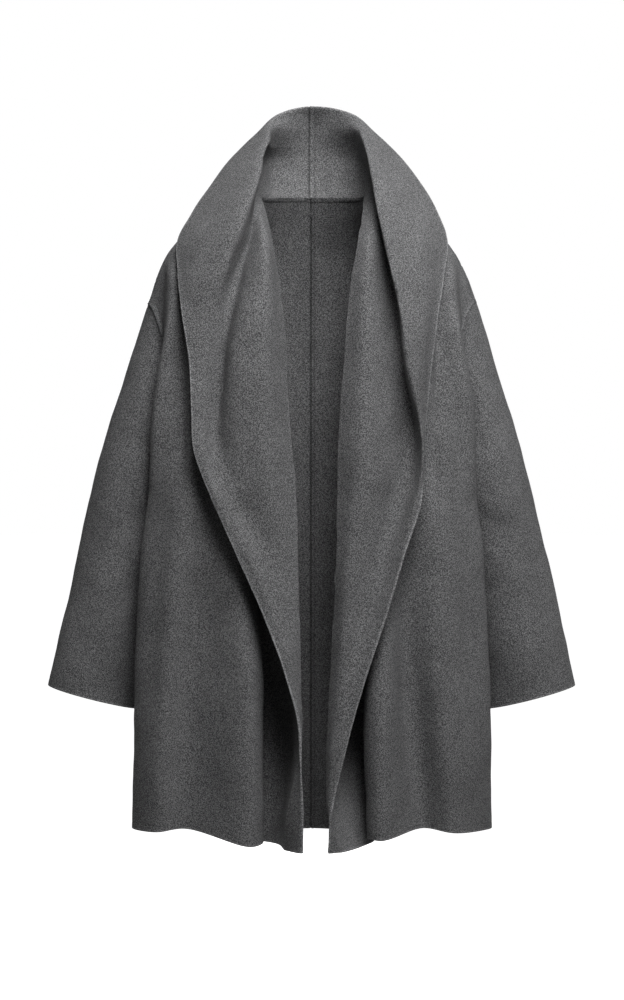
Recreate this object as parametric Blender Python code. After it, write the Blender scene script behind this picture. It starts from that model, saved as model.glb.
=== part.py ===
"""Hooded wool coat, open at the front, in six sewn pieces, each a wall of cloth.

+Z is up and the front faces -Y, so +X is the wearer's left. The origin is the middle of the
neck opening, level with the neck seam, where the wearer's shoulders hold the coat.

The coat is one curved sheet. Named lines run up it, such as the seams, the lapel's roll line
and the crests and hollows of its folds. Each line is a short table whose rows are
(station, out, back, up): a station counts up the coat, and the rest are millimetres out from
the middle, backwards and upwards. Stations 0 to 6 climb from the hem to the underarm, 6 to 8
the armhole, 8 to 10 the shoulder seam, and 10 to 12 the neck seam to the centre back.
"""

import bpy
import numpy as np

CLOTH = 2.2  # wall of double-faced wool
SEAM_GAP = 0.3  # between two pieces where they are sewn
NECK_HALF_WIDTH = 76
HOOD_HEIGHT = 143  # up the centre back, from the neck seam to the free edge

# Steps of the mesh along each stretch of a piece's sewn edge, shared by the pieces it joins.
SIDE_STEPS = 14
ARMHOLE_STEPS = 10
SHOULDER_STEPS = 7
NECK_STEPS = 6
SLEEVE_STEPS = 13

HEM, UNDERARM, SHOULDER_END, NECK_SIDE, NECK_BACK = 0, 6, 8, 10, 12

# Seams, the same on both sides.
SIDE_SEAM = (
    (0, 238, 28, -897),
    (1, 228, 28, -800),
    (2, 219, 27, -720),
    (3, 208, 26, -620),
    (4, 199, 25, -510),
    (5, 195, 23, -420),
    (6, 200, 20, -335),
)
SHOULDER_SEAM = (
    (8, 235, 8, -150),
    (8.4, 221, 8, -112),
    (8.8, 201, 8, -74),
    (9.2, 168, 10, -40),
    (9.6, 122, 14, -14),
    (10, NECK_HALF_WIDTH, 18, 4),
)
NECK_SEAM = (
    (10, NECK_HALF_WIDTH, 18, 4),
    (10.5, 64, 44, 5),
    (11, 43, 60, 7),
    (11.5, 21, 67, 8),
    (12, 0, 69, 8),
)

# The sleeve: its outer and inner lines from the armhole (0) to the cuff (1), and its half depth.
SLEEVE_OUTER = (
    (0, 235, 8, -150),
    (0.1, 253, 12, -205),
    (0.25, 279, 16, -287),
    (0.45, 311, 20, -400),
    (0.7, 346, 24, -544),
    (1, 380, 28, -699),
)
SLEEVE_INNER = (
    (0, 200, 20, -335),
    (0.1, 205, 24, -372),
    (0.25, 212, 28, -430),
    (0.45, 221, 32, -508),
    (0.7, 234, 34, -610),
    (1, 250, 34, -733),
)
SLEEVE_HALF_DEPTH = (
    (0, 52, 0, 0),
    (0.25, 60, 0, 0),
    (0.6, 60, 0, 0),
    (1, 55, 0, 0),
)
ARMHOLE_INSET = 9  # how far the armhole's front and back halves are cut in towards the neck

# The back, the same on both sides, from the centre back out to the side seam.
BACK_LINES = (
    (  # centre back seam
        (0, 0, 116, -918),
        (2, 0, 109, -700),
        (4, 0, 106, -500),
        (6, 0, 111, -290),
        (7, 0, 108, -150),
        (7.5, 0, 96, -70),
    ),
    (  # flute beside it
        (0, 62, 122, -921),
        (2, 58, 113, -700),
        (4, 54, 108, -500),
        (6, 50, 113, -290),
        (7, 48, 107, -150),
        (7.5, 46, 92, -70),
    ),
    (  # hollow
        (0, 126, 100, -913),
        (2, 120, 102, -700),
        (4, 112, 103, -500),
        (6, 98, 109, -295),
        (7, 90, 101, -155),
        (7.5, 82, 76, -74),
    ),
    (  # outer flute
        (0, 190, 90, -909),
        (2, 178, 85, -700),
        (4, 160, 85, -500),
        (6, 148, 97, -305),
        (7, 140, 88, -175),
        (7.5, 134, 60, -104),
    ),
    (  # beside the side seam
        (0, 226, 58, -902),
        (2, 206, 54, -700),
        (4, 184, 54, -500),
        (6, 182, 72, -322),
        (7, 182, 76, -210),
        (7.5, 185, 54, -148),
    ),
)
BACK_SPANS = (3, 3, 3, 2, 2)  # mesh steps from each line to the next
BACK_TOPS = (12, 11, 10, 64 / 7, 60 / 7)  # station of the neck or shoulder seam where each ends

# The fronts, from the side seam to the lapel's roll line, and on to the free edge.
SIDE_FOLD = (
    (0, 254, -50, -896),
    (2, 252, -54, -700),
    (3, 247, -56, -600),
    (4, 240, -58, -500),
    (5, 229, -58, -410),
    (6, 218, -60, -330),
    (7, 207, -60, -245),
    (8, 202, -54, -170),
    (8.5, 197, -36, -106),
    (9, 160, -18, -56),
)
SIDE_HOLLOW = (
    (0, 250, -14, -896),
    (2, 226, -18, -700),
    (3, 214, -20, -610),
    (4, 203, -20, -505),
    (5, 194, -20, -415),
    (6, 192, -20, -334),
    (7, 199, -46, -250),
    (8, 212, -24, -160),
    (8.5, 206, -8, -92),
    (9, 176, -2, -54),
)
PANEL_SPANS = (2, 2, 3, 2, 2, 1, 2, 2, 2)
LAPEL_SPANS = (2, 2, 2, 2, 3)

LEFT_PANEL = (  # the wearer's left
    SIDE_HOLLOW,
    SIDE_FOLD,
    (  # outer flute
        (0, 196, -110, -895),
        (2, 188, -112, -700),
        (4, 180, -109, -500),
        (6, 172, -98, -330),
        (7, 170, -86, -245),
        (8, 172, -68, -168),
        (8.5, 170, -46, -108),
        (9, 144, -32, -60),
    ),
    (  # hollow between the flutes
        (0, 156, -84, -890),
        (1, 149, -88, -800),
        (2, 140, -96, -700),
        (3, 138, -101, -600),
        (4, 142, -104, -500),
        (6, 145, -88, -330),
        (8, 146, -64, -165),
        (9, 130, -46, -62),
    ),
    (  # crest of the inner flute
        (0, 96, -139, -902),
        (1, 96, -138, -800),
        (2, 98, -134, -700),
        (3, 101, -126, -600),
        (4, 106, -115, -500),
        (6, 114, -84, -330),
        (8, 120, -66, -163),
        (9, 116, -48, -64),
    ),
    (  # its lip, over the gap
        (0, 78, -116, -901),
        (1, 73, -114, -800),
        (2, 75, -110, -700),
        (3, 82, -108, -600),
        (4, 88, -105, -500),
        (6, 96, -83, -330),
        (8, 101, -66, -162),
        (9, 104, -50, -66),
    ),
    (  # bottom of the gap
        (0, 86, -62, -912),
        (1, 82, -48, -800),
        (2, 79, -54, -700),
        (3, 78, -80, -600),
        (4, 78, -95, -500),
        (6, 79, -82, -330),
        (8, 84, -67, -161),
        (9, 92, -52, -68),
    ),
    (  # behind the lapel
        (0, 58, -118, -916),
        (0.5, 50, -94, -860),
        (1, 44, -70, -800),
        (2, 43, -68, -700),
        (3, 46, -86, -600),
        (4, 50, -98, -500),
        (6, 58, -83, -330),
        (8, 67, -69, -160),
        (9, 80, -54, -70),
    ),
)
LEFT_LAPEL = (
    (  # roll line
        (0, 42, -140, -917),
        (0.25, 29, -146, -890),
        (0.5, 22, -146, -860),
        (1, 20, -137, -800),
        (2, 25, -123, -700),
        (4, 33, -113, -500),
        (6, 39, -106, -330),
        (7, 45, -101, -240),
        (8, 51, -92, -160),
        (9, 64, -70, -75),
        (9.5, 71, -34, -28),
        (10, NECK_HALF_WIDTH, 18, 4),
    ),
    (  # its inner half
        (0, 38, -143, -917),
        (0.5, 23, -150, -860),
        (1, 25, -149, -800),
        (2, 36, -142, -700),
        (3, 45, -138, -600),
        (4, 54, -134, -500),
        (5, 68, -134, -406),
        (6, 72, -131, -330),
        (7, 74, -124, -242),
        (8, 76, -113, -162),
        (9, 80, -86, -72),
        (9.5, 83, -46, -28),
        (10, 80, 0, 5),
        (10.5, 72, 36, 15),
        (11, 54, 64, 26),
        (11.5, 29, 81, 31),
        (12, 0, 89, 32),
    ),
    (  # hollow behind the crest
        (0, 34, -146, -917),
        (0.5, 24, -153, -860),
        (1, 30, -153, -800),
        (2, 48, -149, -700),
        (3, 70, -138, -600),
        (4, 94, -129, -500),
        (5, 132, -113, -402),
        (6, 141, -99, -328),
        (7, 130, -89, -244),
        (8, 117, -81, -164),
        (8.5, 110, -75, -118),
        (9, 103, -66, -66),
        (9.5, 97, -54, -26),
        (10, 90, -28, 7),
        (10.5, 83, 8, 32),
        (11, 70, 48, 56),
        (11.5, 47, 83, 66),
        (12, 0, 102, 68),
    ),
    (  # crest, the foremost line of the hood and lapel
        (0, 30, -149, -917),
        (0.5, 25, -154, -860),
        (1, 34, -155, -800),
        (2, 57, -152, -700),
        (3, 86, -149, -600),
        (4, 116, -143, -500),
        (5, 149, -139, -400),
        (6, 149, -135, -325),
        (7, 134, -133, -243),
        (8, 119, -128, -162),
        (8.5, 109, -120, -118),
        (9, 99, -104, -64),
        (9.5, 91, -85, -22),
        (10, 87, -60, 14),
        (10.5, 81, -34, 44),
        (11, 74, 6, 82),
        (11.5, 60, 50, 108),
        (12, 0, 100, 108),
    ),
    (  # wing that falls from the crest
        (0, 27, -151, -917),
        (0.5, 26, -155, -860),
        (1, 37, -155, -800),
        (2, 62, -153, -700),
        (3, 93, -152, -600),
        (4, 123, -147, -500),
        (5, 152, -139, -400),
        (6, 157, -131, -322),
        (7, 155, -126, -244),
        (8, 152, -115, -163),
        (8.5, 152, -100, -116),
        (9, 150, -76, -62),
        (9.5, 136, -50, -18),
        (10, 123, -24, 22),
        (10.5, 104, 2, 58),
        (11, 84, 30, 92),
        (11.5, 61, 58, 120),
        (12, 0, 93, 128),
    ),
    (  # free edge
        (0, 23, -152, -917),
        (0.5, 27, -155, -860),
        (1, 40, -154, -800),
        (2, 67, -152, -700),
        (3, 98, -154, -600),
        (4, 129, -149, -500),
        (4.6, 149, -142, -440),
        (5, 154, -134, -400),
        (6, 163, -124, -320),
        (7, 172, -110, -245),
        (8, 181, -88, -165),
        (8.5, 187, -64, -118),
        (9, 192, -28, -66),
        (9.5, 179, -8, -22),
        (10, 155, 14, 23),
        (10.5, 125, 36, 64),
        (11, 92, 53, 98),
        (11.5, 58, 66, 130),
        (11.75, 31, 77, 140),
        (12, 0, 82, HOOD_HEIGHT),
    ),
)

RIGHT_PANEL = (  # the wearer's right
    SIDE_HOLLOW,
    SIDE_FOLD,
    (  # outer flute
        (0, 212, -100, -895),
        (2, 202, -106, -700),
        (4, 184, -107, -500),
        (6, 172, -98, -330),
        (7, 170, -86, -245),
        (8, 172, -68, -168),
        (8.5, 170, -46, -108),
        (9, 144, -32, -60),
    ),
    (  # hollow between the flutes
        (0, 178, -84, -891),
        (2, 166, -91, -700),
        (3, 158, -97, -600),
        (4, 150, -103, -500),
        (6, 145, -99, -330),
        (8, 146, -76, -165),
        (9, 130, -46, -62),
    ),
    (  # crest of the inner flute
        (0, 86, -134, -911),
        (1, 85, -135, -800),
        (2, 86, -133, -700),
        (3, 92, -126, -600),
        (4, 104, -117, -500),
        (6, 114, -98, -330),
        (8, 120, -80, -163),
        (9, 116, -54, -64),
    ),
    (  # its lip, over the gap
        (0, 69, -108, -909),
        (1, 67, -106, -800),
        (2, 66, -102, -700),
        (3, 74, -103, -600),
        (4, 86, -106, -500),
        (6, 96, -96, -330),
        (8, 101, -80, -162),
        (9, 104, -58, -66),
    ),
    (  # bottom of the gap
        (0, 74, -46, -914),
        (1, 76, -45, -800),
        (2, 74, -51, -700),
        (3, 74, -77, -600),
        (4, 74, -94, -500),
        (6, 76, -92, -330),
        (8, 80, -80, -161),
        (9, 90, -60, -68),
    ),
    (  # behind the lapel
        (0, 49, -66, -915),
        (0.5, 44, -58, -860),
        (1, 38, -54, -800),
        (2, 35, -60, -700),
        (3, 38, -82, -600),
        (4, 42, -97, -500),
        (6, 50, -92, -330),
        (8, 60, -79, -160),
        (9, 76, -60, -70),
    ),
)
RIGHT_LAPEL = (
    (  # roll line
        (0, 38, -118, -917),
        (0.5, 33, -132, -860),
        (1, 21, -141, -800),
        (1.5, 15, -143, -745),
        (2, 17, -136, -700),
        (3, 17, -125, -600),
        (4, 19, -118, -500),
        (5, 23, -112, -410),
        (6, 29, -106, -330),
        (7, 35, -100, -240),
        (8, 43, -91, -160),
        (9, 56, -68, -72),
        (9.5, 66, -34, -28),
        (10, NECK_HALF_WIDTH, 18, 4),
    ),
    (  # its inner half
        (0, 33, -127, -917),
        (0.5, 27, -140, -860),
        (1, 18, -147, -800),
        (1.5, 16, -147, -745),
        (2, 21, -143, -700),
        (3, 29, -138, -600),
        (4, 46, -136, -500),
        (5, 62, -140, -406),
        (6, 66, -142, -330),
        (7, 66, -138, -242),
        (8, 64, -128, -162),
        (9, 67, -93, -72),
        (9.5, 74, -50, -28),
        (10, 79, 0, 5),
        (10.5, 70, 36, 15),
        (11, 53, 64, 26),
        (11.5, 29, 81, 31),
        (12, 0, 89, 32),
    ),
    (  # hollow
        (0, 28, -135, -917),
        (0.5, 21, -146, -860),
        (1, 16, -150, -800),
        (1.5, 17, -149, -745),
        (2, 24, -147, -700),
        (3, 42, -145, -600),
        (4, 74, -140, -500),
        (5, 114, -129, -404),
        (6, 132, -114, -328),
        (7, 129, -107, -244),
        (8, 116, -99, -164),
        (8.5, 102, -85, -118),
        (9, 87, -66, -68),
        (9.5, 84, -49, -26),
        (10, 84, -28, 7),
        (10.5, 79, 8, 32),
        (11, 68, 48, 56),
        (11.5, 46, 83, 66),
        (12, 0, 102, 68),
    ),
    (  # crest, the foremost line of the hood and lapel
        (0, 24, -141, -917),
        (0.5, 18, -149, -860),
        (1, 16, -152, -800),
        (1.5, 17, -151, -745),
        (2, 26, -149, -700),
        (3, 52, -148, -600),
        (4, 92, -146, -500),
        (5, 136, -134, -402),
        (6, 152, -122, -322),
        (7, 151, -113, -243),
        (8, 138, -104, -160),
        (8.5, 121, -107, -116),
        (9, 105, -103, -66),
        (9.5, 90, -86, -22),
        (10, 78, -62, 14),
        (10.5, 71, -34, 44),
        (11, 63, 6, 82),
        (11.5, 55, 50, 108),
        (12, 0, 100, 108),
    ),
    (  # wing that falls from the crest
        (0, 19, -147, -917),
        (0.5, 15, -151, -860),
        (1, 16, -153, -800),
        (1.5, 17, -152, -745),
        (2, 28, -150, -700),
        (3, 58, -148, -600),
        (4, 100, -145, -500),
        (5, 143, -138, -401),
        (6, 160, -124, -320),
        (7, 162, -112, -242),
        (8, 162, -98, -160),
        (8.5, 159, -90, -116),
        (9, 152, -72, -64),
        (9.5, 132, -48, -18),
        (10, 115, -22, 20),
        (10.5, 95, 4, 58),
        (11, 76, 32, 92),
        (11.5, 55, 60, 120),
        (12, 0, 93, 128),
    ),
    (  # free edge
        (0, 14, -150, -917),
        (0.5, 13, -152, -860),
        (1, 16, -153, -800),
        (1.5, 18, -152, -745),
        (2, 29, -151, -700),
        (2.5, 44, -150, -650),
        (3, 63, -148, -600),
        (4, 107, -144, -500),
        (5, 150, -136, -400),
        (5.5, 163, -130, -360),
        (6, 166, -123, -312),
        (7, 170, -110, -240),
        (8, 183, -86, -158),
        (8.5, 188, -62, -112),
        (9, 191, -28, -66),
        (9.5, 170, -6, -20),
        (10, 145, 15, 20),
        (10.5, 114, 37, 62),
        (11, 83, 54, 96),
        (11.5, 52, 67, 128),
        (11.75, 28, 77, 139),
        (12, 0, 82, HOOD_HEIGHT),
    ),
)

WOOL = (0.09, 0.09, 0.09, 1)  # mid grey melange, linear


def cubic(knots, values, at):
    """Values at the places given, on a cubic through each knot's value.

    The slope at a knot is that of the parabola through it and its two neighbours.
    """
    steps = np.diff(knots)
    slopes = np.diff(values, axis=0) / steps[:, None]
    weights = steps[:-1, None], steps[1:, None]
    inner = (weights[1] * slopes[:-1] + weights[0] * slopes[1:]) / (weights[0] + weights[1])
    tangents = np.vstack([slopes[:1], inner, slopes[-1:]])
    span = np.clip(np.searchsorted(knots, at, side="right") - 1, 0, len(knots) - 2)
    width = steps[span]
    share = ((at - knots[span]) / width)[:, None]
    width = width[:, None]
    return (
        (1 + 2 * share) * (1 - share) ** 2 * values[span]
        + share * (1 - share) ** 2 * width * tangents[span]
        + share**2 * (3 - 2 * share) * values[span + 1]
        + share**2 * (share - 1) * width * tangents[span + 1]
    )


def line(rows, stations):
    """Points of a line at the stations, from its table.

    A line that ends at the centre back runs straight across it, as if it went on mirrored.
    """
    rows = np.array(rows, float)
    if rows[-1, 0] == NECK_BACK:
        rows = np.vstack([rows, rows[-2] * (-1, -1, 1, 1) + (2 * NECK_BACK, 0, 0, 0)])
    return cubic(rows[:, 0], rows[:, 1:], np.asarray(stations, float))


def ring(share, angle):
    """Points of the sleeve at shares of its length from the armhole, at angles round it.

    The angle is 0 on the outer line, a quarter turn at the front and half a turn on the
    inner line. The section is an ellipse between the two lines, cut in towards the neck
    where it meets the body.
    """
    outer = line(SLEEVE_OUTER, share)
    inner = line(SLEEVE_INNER, share)
    depth = line(SLEEVE_HALF_DEPTH, share)[:, 0]
    centre = (outer + inner) / 2
    reach = (outer - inner) / 2
    across = np.cos(angle)[:, None]
    forward = np.sin(angle)
    points = centre + across * reach
    points[:, 0] -= ARMHOLE_INSET * np.abs(forward) * (1 - share) ** 2
    points[:, 1] -= depth * forward
    return points


def sewn_edge(stations, front):
    """Points of a body piece's sewn edge: side seam, armhole, shoulder seam and neck seam."""
    stations = np.asarray(stations, float)
    points = np.empty((len(stations), 3))
    side = stations <= UNDERARM
    armhole = (stations > UNDERARM) & (stations < SHOULDER_END)
    shoulder = (stations >= SHOULDER_END) & (stations <= NECK_SIDE)
    neck = stations > NECK_SIDE
    points[side] = line(SIDE_SEAM, stations[side])
    turn = np.pi * (SHOULDER_END - stations[armhole]) / (SHOULDER_END - UNDERARM)
    points[armhole] = ring(np.zeros(armhole.sum()), turn if front else -turn)
    points[shoulder] = line(SHOULDER_SEAM, stations[shoulder])
    points[neck] = line(NECK_SEAM, stations[neck])
    return points


def stations_up_to(last):
    """Stations of the mesh's rows from the hem to a landmark."""
    stretches = (
        (HEM, UNDERARM, SIDE_STEPS),
        (UNDERARM, SHOULDER_END, ARMHOLE_STEPS),
        (SHOULDER_END, NECK_SIDE, SHOULDER_STEPS),
        (NECK_SIDE, NECK_BACK, NECK_STEPS),
    )
    rows = [np.linspace(a, b, n + 1)[1:] for a, b, n in stretches if b <= last]
    return np.concatenate([[HEM], *rows])


def sheet(lines, spans, centred=False):
    """A grid (row, column, xyz) that passes through the lines, with cubic rows between them.

    Each row's knots are spaced by the square root of the distance, which keeps the turn of
    a fold tight without loops. Centred rows start at the middle of the coat and run straight
    across it, as if they went on mirrored.
    """
    if centred:
        lines = [lines[1] * (-1, 1, 1), *lines]
    lines = np.array(lines)
    chords = np.linalg.norm(np.diff(lines, axis=0), axis=2)
    knots = np.vstack([np.zeros(lines.shape[1]), np.cumsum(np.sqrt(chords + 1e-6), axis=0)])
    starts = np.arange(len(spans)) + centred
    columns = [np.arange(n) / n + start for start, n in zip(starts, spans)]
    columns = np.concatenate([*columns, [len(spans) + centred]])
    whole = np.minimum(columns.astype(int), len(lines) - 2)
    grid = []
    for row in range(lines.shape[1]):
        along = knots[whole, row]
        along = along + (columns - whole) * (knots[whole + 1, row] - along)
        grid.append(cubic(knots[:, row], lines[:, row], along))
    return np.array(grid)


def front_sheets(panel, lapel):
    """The front in two grids that meet at the roll line: panel, then lapel and half the hood."""
    rows = stations_up_to(NECK_SIDE)
    corner = (NECK_SIDE, *SHOULDER_SEAM[-1][1:])
    folds = [line((*fold, corner), rows) for fold in panel]
    roll = line(lapel[0], rows)
    body = sheet([sewn_edge(rows, front=True), *folds, roll], PANEL_SPANS)
    rows = stations_up_to(NECK_BACK)
    above = rows > NECK_SIDE
    inner = np.vstack([roll, sewn_edge(rows[above], front=True)])
    turned = sheet([inner, *(line(fold, rows) for fold in lapel[1:])], LAPEL_SPANS)
    return [body[:, ::-1], turned[:, ::-1]]


def back_sheet():
    """The back half, from the centre back seam to the side seam and armhole."""
    rows = stations_up_to(SHOULDER_END)
    lines = []
    for fold, top in zip(BACK_LINES, BACK_TOPS):
        end = sewn_edge([top], front=False)[0]
        lines.append(line((*fold, (SHOULDER_END, *end)), rows))
    grid = sheet([*lines, sewn_edge(rows, front=False)], BACK_SPANS, centred=True)
    top = np.concatenate([
        np.linspace(NECK_BACK, NECK_SIDE, NECK_STEPS + 1),
        np.linspace(NECK_SIDE, SHOULDER_END, SHOULDER_STEPS + 1)[1:],
    ])
    grid[-1] = sewn_edge(top, front=False)
    return grid[:, ::-1]


def sleeve_sheet():
    """The sleeve, closed round on itself along its inner line."""
    shares = np.linspace(0, 1, SLEEVE_STEPS + 1) ** 1.15
    angles = np.linspace(-np.pi, np.pi, 2 * ARMHOLE_STEPS + 1)
    grid = [ring(np.full(len(angles), share), angles) for share in shares]
    grid = np.array(grid)
    grid[:, -1] = grid[:, 0]
    return grid


def mesh_of(sheets, mirrored):
    """One mesh of the grids: points, and faces as point numbers, facing out of the coat."""
    points = []
    faces = []
    for grid in sheets:
        rows, columns = grid.shape[:2]
        first = sum(len(part) for part in points)
        number = first + np.arange(rows * columns).reshape(rows, columns)
        corners = number[:-1, :-1], number[:-1, 1:], number[1:, 1:], number[1:, :-1]
        quads = np.stack([corner.ravel() for corner in corners], axis=1)
        points.append(grid.reshape(-1, 3))
        faces.append(quads)
    points = np.concatenate(points)
    faces = np.concatenate(faces)
    if mirrored:
        points = points * (-1, 1, 1)
        faces = faces[:, ::-1]
    return points, faces


def weld(pieces):
    """All pieces on one list of points, those that coincide made one."""
    points = np.concatenate([points for points, _ in pieces.values()])
    _, first, joined = np.unique(
        np.round(points, 3), axis=0, return_index=True, return_inverse=True
    )
    joined = joined.reshape(-1)
    faces = {}
    start = 0
    for name, (own, quads) in pieces.items():
        faces[name] = joined[quads + start]
        start += len(own)
    return points[first], faces


def face_normals(points, quads):
    """Area-weighted normals of quads, from their diagonals."""
    corners = points[quads]
    return np.cross(corners[:, 2] - corners[:, 0], corners[:, 3] - corners[:, 1]) / 2


def point_normals(points, quads):
    """Each point's normal, lengthened where the sheet bends so that the wall keeps its thickness."""
    areas = face_normals(points, quads)
    sums = np.zeros_like(points)
    for corner in range(4):
        np.add.at(sums, quads[:, corner], areas)
    normals = sums / np.linalg.norm(sums, axis=1, keepdims=True)
    size = np.linalg.norm(areas, axis=1)
    lean = np.zeros(len(points))
    weight = np.zeros(len(points))
    for corner in range(4):
        own = quads[:, corner]
        np.add.at(lean, own, (normals[own] * areas).sum(axis=1))
        np.add.at(weight, own, size)
    return normals / np.clip(lean / weight, 0.7, 1)[:, None]


def outline(quads):
    """Directed edges that only one face has, with the piece on their left."""
    ends = np.concatenate([quads[:, [i, (i + 1) % 4]] for i in range(4)])
    ends = ends[ends[:, 0] != ends[:, 1]]
    _, index, count = np.unique(
        np.sort(ends, axis=1), axis=0, return_inverse=True, return_counts=True
    )
    return ends[count[index.reshape(-1)] == 1]


def pulled_back(points, normals, edges, sewn):
    """The points, with those on a seam moved half the seam gap into the piece.

    At a corner between two seams the move is mitred, so both edges keep the gap.
    """
    moves = np.zeros_like(points)
    kept = {}
    for start, end in edges:
        if not (sewn[start] and sewn[end]):
            continue
        along = points[end] - points[start]
        inward = np.cross(normals[start] + normals[end], along)
        inward /= np.linalg.norm(inward)
        for point in (start, end):
            kept.setdefault(point, []).append(inward)
    for point, inwards in kept.items():
        total = sum(inwards)
        if len(inwards) == 2:
            total = total / max(1 + inwards[0] @ inwards[1], 0.3)
        moves[point] = total * SEAM_GAP / 2
    return points + moves


def cut_edge(edges, count):
    """Triangles between the outer and inner sheet along an outline.

    The diagonal of each pair depends only on the two points' numbers, so the facing edges of
    two sewn pieces are cut alike and stay parallel.
    """
    start, end = edges.T
    low = start < end
    far = np.where(low, end, start) + count
    near = np.where(low, start, end)
    first = np.stack([end, start, far], axis=1)
    second = np.stack([near, start + count, end + count], axis=1)
    return first.tolist() + second.tolist()


def wall(points, normals, quads, sewn):
    """Closed mesh of a piece: the sheet moved out and in by half the cloth, and its cut edge."""
    edges = outline(quads)
    middle = pulled_back(points, normals, edges, sewn)
    outer = middle + normals * CLOTH / 2
    inner = middle - normals * CLOTH / 2
    count = len(points)
    faces = quads.tolist() + (quads[:, ::-1] + count).tolist() + cut_edge(edges, count)
    both = np.concatenate([outer, inner])
    used = np.unique(np.concatenate(faces))
    number = {old: new for new, old in enumerate(used.tolist())}
    faces = [[number[point] for point in dict.fromkeys(face)] for face in faces]
    return both[used], faces


def wool():
    """Material of the cloth."""
    material = bpy.data.materials.new("wool_melange")
    material.use_nodes = True
    shader = material.node_tree.nodes["Principled BSDF"]
    shader.inputs["Base Color"].default_value = WOOL
    shader.inputs["Roughness"].default_value = 0.95
    shader.inputs["Metallic"].default_value = 0
    material.diffuse_color = WOOL
    return material


def add_piece(name, points, faces, material):
    """Puts a piece in the scene, from millimetres, shaded smooth."""
    mesh = bpy.data.meshes.new(name)
    mesh.from_pydata((points / 1000).tolist(), [], faces)
    mesh.materials.append(material)
    mesh.shade_smooth()
    bpy.context.scene.collection.objects.link(bpy.data.objects.new(name, mesh))


def main():
    for obj in list(bpy.data.objects):
        bpy.data.objects.remove(obj)
    left_front = front_sheets(LEFT_PANEL, LEFT_LAPEL)
    right_front = front_sheets(RIGHT_PANEL, RIGHT_LAPEL)
    pieces = {
        "front_and_hood_left": mesh_of(left_front, mirrored=False),
        "front_and_hood_right": mesh_of(right_front, mirrored=True),
        "back_left": mesh_of([back_sheet()], mirrored=False),
        "back_right": mesh_of([back_sheet()], mirrored=True),
        "sleeve_left": mesh_of([sleeve_sheet()], mirrored=False),
        "sleeve_right": mesh_of([sleeve_sheet()], mirrored=True),
    }
    points, faces = weld(pieces)
    normals = point_normals(points, np.concatenate(list(faces.values())))
    uses = sum(np.isin(np.arange(len(points)), quads).astype(int) for quads in faces.values())
    material = wool()
    for name, quads in faces.items():
        add_piece(name, *wall(points, normals, quads, sewn=uses > 1), material)


main()
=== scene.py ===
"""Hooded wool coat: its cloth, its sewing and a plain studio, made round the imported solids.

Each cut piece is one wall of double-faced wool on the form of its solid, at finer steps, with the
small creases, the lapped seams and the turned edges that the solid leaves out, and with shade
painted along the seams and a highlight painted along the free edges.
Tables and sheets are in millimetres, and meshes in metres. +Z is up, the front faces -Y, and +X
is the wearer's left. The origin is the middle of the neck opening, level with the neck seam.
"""

import bpy
import numpy as np
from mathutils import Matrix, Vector


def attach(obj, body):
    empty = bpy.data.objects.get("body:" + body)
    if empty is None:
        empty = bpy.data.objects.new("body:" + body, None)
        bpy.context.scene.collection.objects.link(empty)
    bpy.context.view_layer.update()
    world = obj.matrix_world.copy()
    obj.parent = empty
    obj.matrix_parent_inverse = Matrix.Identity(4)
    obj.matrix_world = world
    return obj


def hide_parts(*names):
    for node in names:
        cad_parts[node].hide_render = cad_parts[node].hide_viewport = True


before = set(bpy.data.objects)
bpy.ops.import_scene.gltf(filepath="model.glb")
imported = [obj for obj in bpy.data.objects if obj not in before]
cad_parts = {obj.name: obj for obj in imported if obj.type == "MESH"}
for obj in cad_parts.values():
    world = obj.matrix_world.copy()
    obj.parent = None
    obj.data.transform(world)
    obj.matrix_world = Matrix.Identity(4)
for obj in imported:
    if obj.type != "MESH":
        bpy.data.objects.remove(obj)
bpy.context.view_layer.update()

# ------------------------------ sizes

MM = 0.001
CLOTH = 2.2  # wall of double-faced wool
SEAM_EDGE = 0.7  # half the wall left where stitches pinch an edge
PINCH = 1.3  # reach of that pinch from the edge
FALL = 0.8  # how far a lap's free edge takes to fall, and half the width of the groove by it
NECK_HALF_WIDTH = 76
HOOD_HEIGHT = 143  # up the centre back, from the neck seam to the free edge

# Distances from a seam or edge at which the mesh has a line, so that its lap, its groove and
# its rounded rim have a true shape.
FINE = np.array([0.5, 1.1, 1.8, 2.6, 3.6, 4.8, 5.8, 6.5, 7.1, 7.8, 8.8, 10.4, 12.6])
STEP = 4.6  # between the mesh's lines elsewhere
BEND = 9.0  # a bend of one radian gets as many lines as this much flat cloth
FINE_SHARE = 2.5  # a row shorter than this many times the last of FINE has it squeezed

# Stations: numbers for heights along a body piece, from the hem up to the centre back.
HEM, UNDERARM, SHOULDER_END, NECK_SIDE, NECK_BACK = 0, 6, 8, 10, 12
STRETCHES = (  # of a body piece's sewn edge: first and last station, length, fine at each end
    (HEM, UNDERARM, 575, True, False),
    (UNDERARM, SHOULDER_END, 205, False, True),
    (SHOULDER_END, NECK_SIDE, 235, False, False),
    (NECK_SIDE, NECK_BACK, 165, False, True),
)

# Seams, the same on both sides. Each row of a table is a station and the line's point there:
# out from the middle, back from the origin and up.
SIDE_SEAM = (
    (0, 238, 28, -897),
    (1, 228, 28, -800),
    (2, 219, 27, -720),
    (3, 208, 26, -620),
    (4, 199, 25, -510),
    (5, 195, 23, -420),
    (6, 200, 20, -335),
)
SHOULDER_SEAM = (
    (8, 235, 8, -150),
    (8.4, 221, 8, -112),
    (8.8, 201, 8, -74),
    (9.2, 168, 10, -40),
    (9.6, 122, 14, -14),
    (10, NECK_HALF_WIDTH, 18, 4),
)
NECK_SEAM = (
    (10, NECK_HALF_WIDTH, 18, 4),
    (10.5, 64, 44, 5),
    (11, 43, 60, 7),
    (11.5, 21, 67, 8),
    (12, 0, 69, 8),
)

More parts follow.
